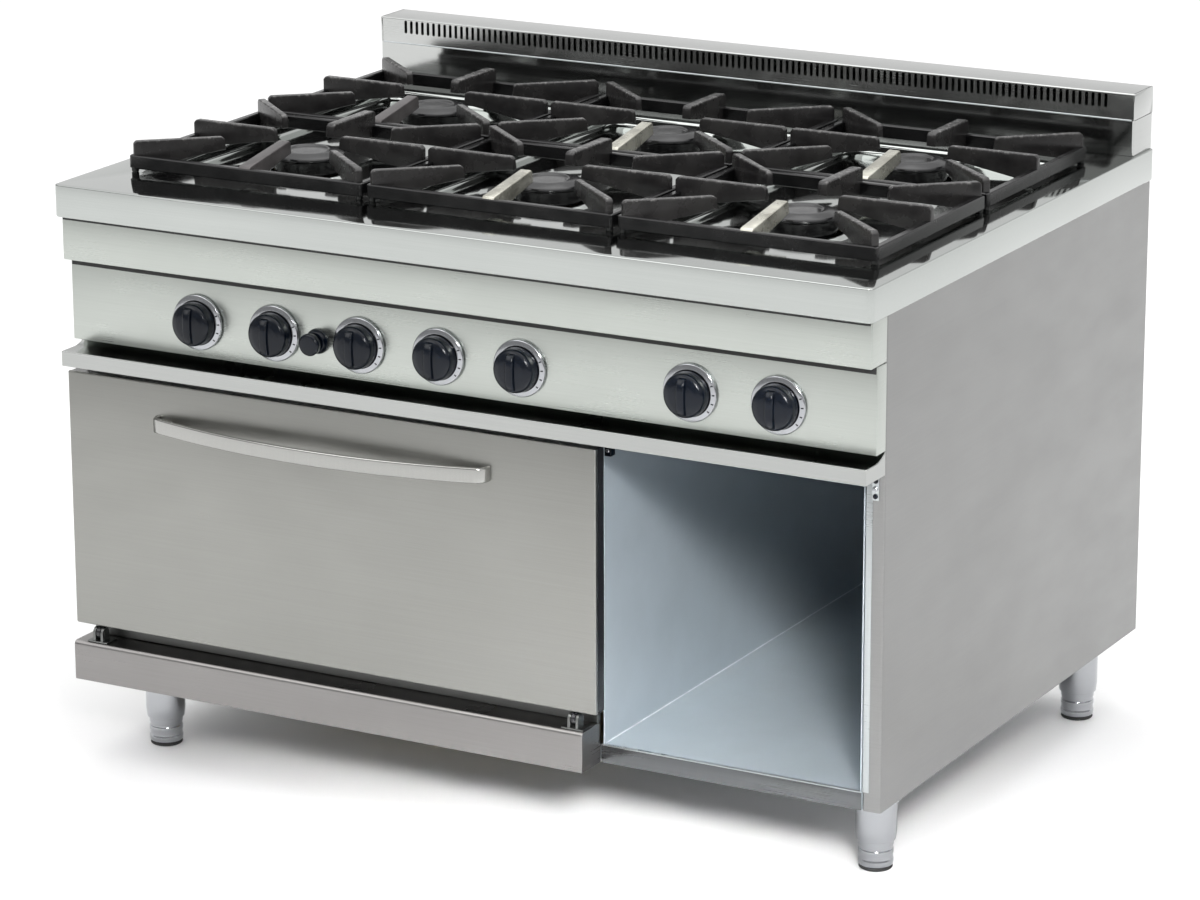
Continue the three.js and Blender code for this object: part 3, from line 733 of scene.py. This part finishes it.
def make_burners():
    for place in PLACES:
        cx, cy = burner_centre(place)
        lo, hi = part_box(f"burner_{place}")
        bm = bmesh.new()
        crown = rounded_profile(
            [
                (0, hi.z - 0.0735),
                (0.028, hi.z - 0.0735),
                (0.0285, hi.z - 0.031),
                (0.0455, hi.z - 0.019),
                (0.0455, hi.z - 0.0012),
                (0.0448, hi.z - 0.0002),
                (0.020, hi.z - 0.0002),
                (0.020, hi.z - 0.0075),
                (0, hi.z - 0.0075),
            ],
            0.002,
            3,
        )
        lathe(bm, crown, (cx, cy, 0))
        # venturi tube and its bell, from the pot to the injector at the front
        valve_lo, valve_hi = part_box(f"knob_{place}")
        mouth_x = (valve_lo.x + valve_hi.x) / 2
        axis_z = hi.z - TUBE_DROP
        start, mouth = Vector((cx, cy, axis_z)), Vector((mouth_x, lo.y + BELL_LENGTH, axis_z))
        tube(bm, [start, mouth], [TUBE_RADIUS, TUBE_RADIUS])
        bell = [mouth, mouth - Vector((0, 0.006, 0)), Vector((mouth_x, lo.y, axis_z))]
        tube(bm, bell, [TUBE_RADIUS, BELL_RADIUS * 0.9, BELL_RADIUS])
        replaced = [f"burner_{place}"]
        piece(f"burner_casting_{place}", bm, IRON, BODY, replaced, smooth=45)
        bm = bmesh.new()
        cap_lo, cap_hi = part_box(f"burner_cap_{place}")
        rim = (cap_hi.x - cap_lo.x) / 2
        base, high = cap_lo.z, cap_hi.z
        cap = rounded_profile(
            [
                (0, base),
                (0.018, base),
                (0.018, base + 0.0072),
                (rim - 0.001, base + 0.0072),
                (rim, base + 0.0095),
                (rim - 0.002, base + 0.0125),
                (0.036, high - 0.0008),
                (0.031, high),
                (0.027, high - 0.0004),
                (0.0245, high - 0.0024),
                (0.012, high - 0.0020),
                (0, high - 0.0016),
            ],
            0.0015,
            3,
        )
        lathe(bm, cap, (cx, cy, 0), segments=72)
        replaced = [f"burner_cap_{place}"]
        piece(f"flame_cap_{place}", bm, CAP, BODY, replaced, smooth=50)


make_worktop()
make_splash_back()
make_flue_hood()
make_grates()
make_burners()


# ---------------------------------------------------------------- front


def rounded_box_piece(name, node, material, radius=0.0025, body=BODY, segments=3):
    lo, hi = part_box(node)
    bm = bmesh.new()
    add_box(bm, lo, hi, radius, segments)
    return piece(name, bm, material, body, [node])


def make_ledge():
    lo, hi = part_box("panel_ledge")
    bm = bmesh.new()
    section = [
        (hi.y, hi.z),
        (hi.y - 0.0045, hi.z - 0.0035),
        (hi.y - 0.010, hi.z - 0.0062),
        (hi.y - 0.017, hi.z - 0.0085),
        (hi.y - 0.024, hi.z - 0.0098),
        (lo.y, lo.z + 0.021),
        (lo.y, lo.z),
        (hi.y, lo.z),
    ]
    prism(bm, section, lambda u, v, w: Vector((w, u, v)), lo.x, hi.x)
    piece(
        "drip_ledge",
        bm,
        LEDGE,
        replaces=["panel_ledge"],
        bevel=0.0012,
        segments=3,
    )


def make_plinth():
    lo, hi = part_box("kick_panel")
    bm = bmesh.new()
    roll = 0.006
    section = [(hi.y, lo.z), (lo.y, lo.z), (lo.y, hi.z - roll)]
    for degrees in (15, 30, 45, 60, 75, 90):
        t = math.radians(degrees)
        section.append((lo.y + roll - roll * math.cos(t), hi.z - roll + roll * math.sin(t)))
    section.append((hi.y, hi.z))
    prism(bm, section, lambda u, v, w: Vector((w, u, v)), lo.x, hi.x)
    piece("plinth_rail", bm, PLINTH_PAINTED_SHADE, replaces=["kick_panel"], bevel=0.0008)


def make_side_panels():
    for side, sign in (("left", -1), ("right", 1)):
        lo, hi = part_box(f"side_panel_{side}")
        outer = max(abs(lo.x), abs(hi.x))
        half = 0.001
        edge, face = sign * (outer - 0.024), sign * (outer - half)
        path = [
            (edge, lo.y + 0.022),
            (edge, lo.y + half),
            (face, lo.y + half),
            (face, hi.y - half),
            (edge, hi.y - half),
            (edge, hi.y - 0.038),
        ]
        bm = bmesh.new()
        section = folded_section(path, 2 * half, 0.0022)
        prism(bm, section, lambda u, v, w: Vector((u, v, w)), lo.z, hi.z)
        piece(f"side_sheet_{side}", bm, SIDE_PAINTED_SHADE, replaces=[f"side_panel_{side}"])


def make_handle():
    lo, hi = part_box("oven_handle")
    middle_z, half_height = (lo.z + hi.z) / 2, (hi.z - lo.z) / 2
    half = (hi.x - lo.x) / 2
    centre_x = (hi.x + lo.x) / 2
    ends = hi.y - 0.0147
    bow = ends - lo.y
    radius = (half * half + bow * bow) / (2 * bow)
    thick = 0.0032
    left, right, knee = lo.x + 0.006, hi.x - 0.006, ends + 0.010
    path = [Vector((left, hi.y, middle_z)), Vector((left, knee, middle_z))]
    count = 56
    for i in range(count + 1):
        x = lo.x + 0.010 + (hi.x - lo.x - 0.020) * i / count
        u = x - centre_x
        y = lo.y + thick + radius - math.sqrt(radius * radius - u * u)
        path.append(Vector((x, y, middle_z)))
    path += [Vector((right, knee, middle_z)), Vector((right, hi.y, middle_z))]
    bm = bmesh.new()
    bar(bm, path, thick, half_height, 0.0022)
    piece("bowed_handle", bm, HANDLE, "oven_door", ["oven_handle"], smooth=50)


# turned profiles of a knob, as (radius, distance out from the panel side)
BEZEL = [
    (0, 0.0),
    (0.0372, 0.0),
    (0.038, 0.0012),
    (0.0377, 0.0034),
    (0.0368, 0.0044),
    (0.0303, 0.0060),
    (0.0296, 0.0045),
    (0, 0.0045),
]
GRIP = [
    (0, 0.0048),
    (0.0292, 0.0048),
    (0.0295, 0.009),
    (0.0286, 0.020),
    (0.0255, 0.0235),
    (0.018, 0.0262),
    (0.009, 0.0276),
    (0, 0.028),
]
SPINDLE = [(0, -0.0148), (0.0036, -0.0148), (0.004, -0.0140), (0.004, 0.001), (0, 0.001)]
# igniter button: push cap and the fixed collar round it
PUSH_CAP = [
    (0, -0.006),
    (0.0098, -0.006),
    (0.0098, 0.015),
    (0.0145, 0.0165),
    (0.015, 0.0235),
    (0.0125, 0.0258),
    (0, 0.0262),
]
COLLAR = [(0.0108, 0.0002), (0.0170, 0.0002), (0.0165, 0.0045), (0.0135, 0.009), (0.0108, 0.009)]


def make_knobs():
    for node in KNOBS:
        lo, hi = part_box(node)
        x, z = (lo.x + hi.x) / 2, (lo.z + hi.z) / 2
        base = hi.y - 0.015 - 0.001
        body = node.replace("knob_", "") + "_knob"
        bm = bmesh.new()
        lathe(bm, rounded_profile(BEZEL, 0.0007, 3), (x, base, z), "-Y", 72)
        piece(f"bezel_{body}", bm, CHROME, body, smooth=50)
        bm = bmesh.new()
        for degrees in (-38, -18, 2, 22):
            spin = Matrix.Rotation(math.radians(-degrees), 4, "Y")
            tick_radius, tick_depth = 0.0338, 0.0048
            to_ticks = Matrix.Translation((tick_radius, 0, 0))
            at = Matrix.Translation((x, base - tick_depth, z)) @ spin @ to_ticks
            shape = Matrix.Diagonal((0.0036, 0.0016, 0.0016, 1))
            tick = bmesh.ops.create_cube(bm, size=1, matrix=at @ shape)
            edges = list({e for v in tick["verts"] for e in v.link_edges})
            bmesh.ops.bevel(bm, geom=edges, offset=0.0003, segments=1, affect="EDGES")
        piece(f"dial_marks_{body}", bm, KNOB, body)
        bm = bmesh.new()
        lathe(bm, rounded_profile(GRIP, 0.002, 4), (x, base, z), "-Y", 72)
        # finger ridge across the face
        ridge = 0.0255
        path = [(base - 0.0175, z - ridge), (base - 0.026, z - ridge * 0.93)]
        for s in (-0.95, -0.6, -0.3, 0, 0.3, 0.6, 0.95):
            path.append((base - 0.0325 + 0.0035 * abs(s) ** 3, z + ridge * s * 0.9))
        path += [(base - 0.026, z + ridge * 0.93), (base - 0.0175, z + ridge)]
        section = rounded_rectangle(-0.0060, 0.0060, -0.004, 0.004, 0.0034, 5)
        loops = [[Vector((x + u, y + v + 0.004, h)) for u, v in section] for y, h in path]
        loft(bm, loops, cap_start=True, cap_end=True)
        lathe(bm, SPINDLE, (x, base, z), "-Y", 24)
        piece(f"grip_{body}", bm, KNOB, body, [node], smooth=50)


def make_igniter():
    lo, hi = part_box("igniter_button")
    x, z = (lo.x + hi.x) / 2, (lo.z + hi.z) / 2
    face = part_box("control_panel")[0].y
    bm = bmesh.new()
    lathe(bm, rounded_profile(PUSH_CAP, 0.0012, 3), (x, face, z), "-Y", 48)
    piece("igniter_cap", bm, KNOB, "igniter", ["igniter_button"], smooth=50)
    bm = bmesh.new()
    collar = rounded_profile(COLLAR, 0.0008, 2)
    lathe(bm, [*collar, collar[0]], (x, face, z), "-Y", 48)
    bmesh.ops.remove_doubles(bm, verts=bm.verts, dist=1e-6)
    piece("igniter_collar", bm, KNOB, smooth=50)


rounded_box_piece("fascia_rail", "front_rail", FASCIA, 0.002)
rounded_box_piece("knob_panel", "control_panel", FASCIA, 0.0012)
make_ledge()
make_plinth()
make_side_panels()
make_knobs()
make_igniter()

# ---------------------------------------------------------------- oven door and cabinet

def make_shadow_strips():
    """Painted shadow: dark strips standing for the shade under the front rail and under the hob
    apron.
    """
    hob, rail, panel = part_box("worktop"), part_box("front_rail"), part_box("control_panel")
    for name, above, behind, drop in (("panel", rail, panel, 0.0098), ("apron", hob, rail, 0.0052)):
        bm = bmesh.new()
        lo = (behind[0].x + 0.002, behind[0].y - 0.0010, above[0].z - drop)
        hi = (behind[1].x - 0.002, behind[0].y + 0.0006, above[0].z - 0.0002)
        add_box(bm, lo, hi, 0.0004, 2)
        # painted shadow: a black strip where there is only shade
        piece(f"{name}_shadow_strip", bm, RUBBER)


def make_opening_trim():
    """Bright bare edges round the open cabinet on the right post and along the floor rail, whose
    face is painted shade, and the fold inside as a painted highlight.
    """
    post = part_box("side_panel_right")
    rail_lo, rail_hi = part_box("cabinet_floor")
    front, ledge_bottom = post[0].y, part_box("panel_ledge")[0].z
    bm = bmesh.new()
    inner = post[1].x - 0.025
    lo = (inner, front - 0.0007, rail_hi.z)
    hi = (inner + 0.0085, front + 0.0004, ledge_bottom - 0.0006)
    add_box(bm, lo, hi, 0.0003, 2)
    piece("post_edge_trim", bm, TRIM)
    # the rail's face, near black as painted shade
    bm = bmesh.new()
    lo = (rail_lo.x + 0.0006, rail_lo.y - 0.0005, rail_lo.z)
    hi = (rail_hi.x - 0.0006, rail_lo.y + 0.0004, rail_hi.z - 0.0012)
    add_box(bm, lo, hi, 0.0003, 2)
    piece("rail_face", bm, RAIL_PAINTED_SHADE)
    bm = bmesh.new()
    lo = (rail_lo.x + 0.001, rail_lo.y - 0.0008, rail_hi.z - 0.0016)
    hi = (rail_hi.x - 0.001, rail_lo.y + 0.003, rail_hi.z + 0.0004)
    add_box(bm, lo, hi, 0.0004, 2)
    piece("rail_edge_trim", bm, TRIM)
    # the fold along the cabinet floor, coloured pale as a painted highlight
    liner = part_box("cabinet_liner")
    bm = bmesh.new()
    x, z = liner[0].x + 0.0016, liner[0].z + 0.0006
    fold = [Vector((x, liner[0].y + 0.004, z)), Vector((x, liner[1].y - 0.004, z))]
    tube(bm, fold, [0.0011, 0.0011], 12)
    piece("liner_fold", bm, FOLD_PAINTED_HIGHLIGHT)


def make_catches():
    """Catch plate on the right post and a latch block at the top left of the open cabinet."""
    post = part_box("side_panel_right")
    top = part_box("panel_ledge")[0].z
    face = post[0].y
    x = post[1].x - 0.0125
    bm = bmesh.new()
    lo, hi = (x - 0.0045, face - 0.0012, top - 0.034), (x + 0.0045, face + 0.0004, top - 0.004)
    add_box(bm, lo, hi, 0.0005, 2)
    piece("catch_plate", bm, TRIM)
    bm = bmesh.new()
    for drop in (0.0085, 0.0285):
        profile = [(0, 0.0), (0.0034, 0.0), (0.0034, 0.0022), (0.0022, 0.003), (0, 0.0032)]
        lathe(bm, profile, (x, face, top - drop), "-Y", 20)
    piece("catch_screws", bm, KNOB)
    bm = bmesh.new()
    stud = [(0, 0.0), (0.0036, 0.0), (0.0036, 0.003), (0.002, 0.0046), (0, 0.005)]
    lathe(bm, stud, (x, face, top - 0.0185), "-Y", 24)
    piece("catch_stud", bm, CHROME)
    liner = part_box("cabinet_liner")
    x0, y0 = liner[0].x + 0.0014, liner[0].y + 0.0006
    bm = bmesh.new()
    add_box(bm, (x0, y0, top - 0.030), (x0 + 0.010, y0 + 0.012, top - 0.003), 0.001, 2)
    piece("latch_block", bm, KNOB)
    bm = bmesh.new()
    stud = [(0, -0.001), (0.0026, -0.001), (0.0026, 0.0012), (0.0016, 0.002), (0, 0.0022)]
    lathe(bm, stud, (x0 + 0.0055, y0, top - 0.022), "-Y", 20)
    piece("latch_stud", bm, CHROME)


rounded_box_piece("door_face", "oven_door_skin", BRUSHED_PAINTED_SHADE, 0.0022, "oven_door")
softened_copy("oven_door_liner", ENAMEL, "oven_door")
make_handle()
for node in ("door_hinge_left", "door_hinge_right"):
    softened_copy(node, SATIN_PAINTED_SHADE)
softened_copy("oven_face_frame", SATIN_PAINTED_SHADE)
softened_copy("cabinet_liner", CABINET)
softened_copy("cabinet_floor", CABINET)
make_opening_trim()
make_catches()
make_shadow_strips()


# ---------------------------------------------------------------- legs


def make_legs():
    for place in LEGS:
        lo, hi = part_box(f"leg_sleeve_{place}")
        x, y = (lo.x + hi.x) / 2, (lo.y + hi.y) / 2
        bm = bmesh.new()
        bore_top = hi.z - 0.0137
        sleeve = rounded_profile(
            [
                (0, hi.z),
                (0.027, hi.z),
                (0.027, lo.z + 0.012),
                (0.0256, lo.z),
                (0.0238, lo.z),
                (0.0238, bore_top),
                (0, bore_top),
            ],
            0.0015,
            3,
        )
        lathe(bm, sleeve, (x, y, 0))
        piece(f"leg_tube_{place}", bm, CHROME, BODY, [f"leg_sleeve_{place}"], smooth=50)
        bm = bmesh.new()
        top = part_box(f"leg_foot_{place}")[1].z
        foot = rounded_profile(
            [
                (0, 0.004),
                (0.0195, 0.004),
                (0.0225, 0.006),
                (0.0231, 0.012),
                (0.0221, 0.015),
                (0.0221, 0.020),
                (0.0229, 0.0215),
                (0.0229, 0.0265),
                (0.0221, 0.028),
                (0.0221, 0.031),
                (0.0229, 0.0325),
                (0.0229, top),
                (0, top),
            ],
            0.0008,
            2,
        )
        lathe(bm, foot, (x, y, 0))
        body, replaced = f"{place}_foot", [f"leg_foot_{place}"]
        piece(f"leveller_{place}", bm, CHROME, body, replaced, smooth=50)
        bm = bmesh.new()
        outline = [(0, 0), (0.0205, 0), (0.0222, 0.0018), (0.0215, 0.0046), (0, 0.0046)]
        pad = rounded_profile(outline, 0.001, 3)
        lathe(bm, pad, (x, y, 0))
        piece(f"leveller_pad_{place}", bm, RUBBER, body, smooth=50)


make_legs()


# ---------------------------------------------------------------- floor, light, camera


CEILING, WALL, BACKDROP = 1.65, 0.22, 0.50
WALL_TOP, CEILING_FROM = 0.45, 0.85
WIDE = 180
# name, location, target, size, power in watts, spread in degrees
LAMPS = [
    ("key", (-2.2, -3.6, 3.8), (0, 0, 0.5), (2.6, 2.6), 34, WIDE),
    ("fill", (4.4, -1.2, 2.4), (0, 0, 0.6), (2.0, 2.0), 8, WIDE),
    ("top", (0.2, 0.4, 4.2), (0, 0, 0.5), (4.0, 3.0), 46, WIDE),
    ("cabinet", (1.90, -2.75, 1.9), (0.26, -0.35, 0.10), (0.8, 0.8), 4.5, 20),
]


def make_stage():
    bm = bmesh.new()
    size = 14.0
    loft(bm, [[Vector((-size, y, 0)), Vector((size, y, 0))] for y in (-size, size)], closed=False)
    bmesh.ops.recalc_face_normals(bm, faces=bm.faces)
    mesh = bpy.data.meshes.new("floor")
    bm.to_mesh(mesh)
    bm.free()
    floor = bpy.data.objects.new("floor", mesh)
    bpy.context.scene.collection.objects.link(floor)
    g = Graph("floor_paint")
    patches = g.noise(1.5, detail=3.0)
    pale = g.mix(g.remap(patches, 0, 1), (0.93, 0.93, 0.93), (0.95, 0.95, 0.95))
    g.link(pale, g.shader.inputs["Base Color"])
    g.shader.inputs["Roughness"].default_value = 0.9
    mesh.materials.append(g.material)


def area_light(name, location, target, size, power, spread):
    data = bpy.data.lights.new(name, "AREA")
    data.shape = "RECTANGLE"
    data.size, data.size_y = size
    data.energy = power
    data.spread = math.radians(spread)
    lamp = bpy.data.objects.new(name, data)
    lamp.location = location
    lamp.rotation_mode = "QUATERNION"
    lamp.rotation_quaternion = (Vector(target) - Vector(location)).to_track_quat("-Z", "Y")
    bpy.context.scene.collection.objects.link(lamp)


def make_light():
    """Soft studio: bright ceiling and backdrop, darker walls, three large lamps, one small one."""
    world = bpy.data.worlds.new("studio")
    world.use_nodes = True
    tree = world.node_tree
    coords = tree.nodes.new("ShaderNodeTexCoord")
    split = tree.nodes.new("ShaderNodeSeparateXYZ")
    tree.links.new(coords.outputs["Generated"], split.inputs["Vector"])
    ramp = tree.nodes.new("ShaderNodeValToRGB")
    stops = ramp.color_ramp.elements
    stops[0].position, stops[0].color = WALL_TOP, (WALL, WALL, WALL, 1)
    stops[1].position, stops[1].color = CEILING_FROM, (1, 1, 1, 1)
    tree.links.new(split.outputs["Z"], ramp.inputs["Fac"])
    backdrop = tree.nodes.new("ShaderNodeMapRange")
    backdrop.inputs["From Min"].default_value = 0.2
    backdrop.inputs["From Max"].default_value = 0.7
    backdrop.inputs["To Min"].default_value = 0.0
    backdrop.inputs["To Max"].default_value = BACKDROP
    tree.links.new(split.outputs["Y"], backdrop.inputs["Value"])
    brighter = tree.nodes.new("ShaderNodeMath")
    brighter.operation = "MAXIMUM"
    tree.links.new(ramp.outputs["Color"], brighter.inputs[0])
    tree.links.new(backdrop.outputs["Result"], brighter.inputs[1])
    background = tree.nodes["Background"]
    tree.links.new(brighter.outputs["Value"], background.inputs["Color"])
    background.inputs["Strength"].default_value = CEILING
    bpy.context.scene.world = world
    for lamp in LAMPS:
        area_light(*lamp)
    bpy.context.scene.view_settings.view_transform = "Standard"


def make_camera():
    azimuth, elevation, roll = (math.radians(degrees) for degrees in (28.81, 16.22, -0.15))
    focal_ratio, sensor = 4601.0 / 1200.0, 36.0
    data = bpy.data.cameras.new("camera")
    data.sensor_width = sensor
    data.lens = focal_ratio * sensor
    data.clip_end = 100.0
    camera = bpy.data.objects.new("camera", data)
    flat = Vector((-math.sin(azimuth), math.cos(azimuth), 0))
    forward = flat * math.cos(elevation) - Vector((0, 0, math.sin(elevation)))
    camera.location = (2.8971, -5.2839, 2.1636)
    camera.rotation_mode = "QUATERNION"
    upright = forward.to_track_quat("-Z", "Y")
    camera.rotation_quaternion = upright @ Matrix.Rotation(roll, 3, "Z").to_quaternion()
    bpy.context.scene.collection.objects.link(camera)
    bpy.context.scene.camera = camera


make_stage()
make_light()
make_camera()
